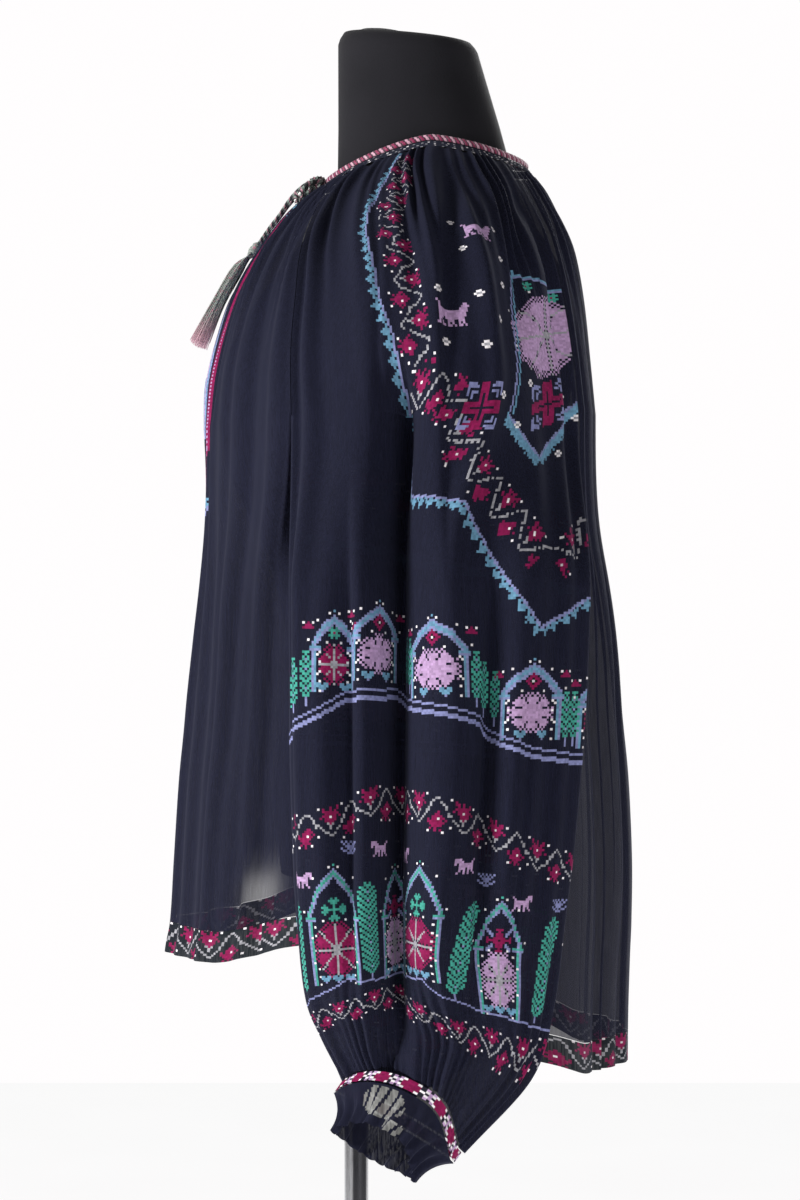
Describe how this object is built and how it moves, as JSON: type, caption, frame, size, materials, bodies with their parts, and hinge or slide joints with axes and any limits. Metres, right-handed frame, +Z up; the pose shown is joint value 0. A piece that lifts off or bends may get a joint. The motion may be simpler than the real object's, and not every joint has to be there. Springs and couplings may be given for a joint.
{
  "type": "blouse on a dress form",
  "caption": "Navy gauze peasant blouse with wide gathered raglan sleeves, high-low hem and tasselled neck ties, shown on a limbless dress form with a pole stand.",
  "frame": {"origin": "centre of the base plate's underside, on the pole's axis", "axes": "+Z up along the pole, -Y out of the garment's front, +X to the wearer's left"},
  "size_m": [0.5856, 0.3765, 1.5287],
  "materials": {
    "navy_gauze": "matte crinkled gauze",
    "embroidered_band": "matte, embroidered",
    "whipped_binding": "matte whip stitch",
    "braid": "matte braid",
    "jersey": "matte jersey",
    "steel": "satin"
  },
  "bodies": {
    "root": {"front_panel": "navy_gauze", "back_panel": "navy_gauze", "sleeve_left": "navy_gauze", "sleeve_right": "navy_gauze", "cuff_frill_left": "navy_gauze", "cuff_frill_right": "navy_gauze", "hem_band_front": "embroidered_band", "hem_band_back": "embroidered_band", "cuff_band_left": "embroidered_band", "cuff_band_right": "embroidered_band", "neck_band": "embroidered_band", "neck_binding": "whipped_binding", "tie_cord_left": "braid", "tie_cord_right": "braid", "tassel_left": "braid", "tassel_right": "braid", "dress_form_torso": "jersey", "neck_cap": "jersey", "pole_collar": "steel", "pole": "steel", "base_plate": "steel"}
  },
  "joints": []
}
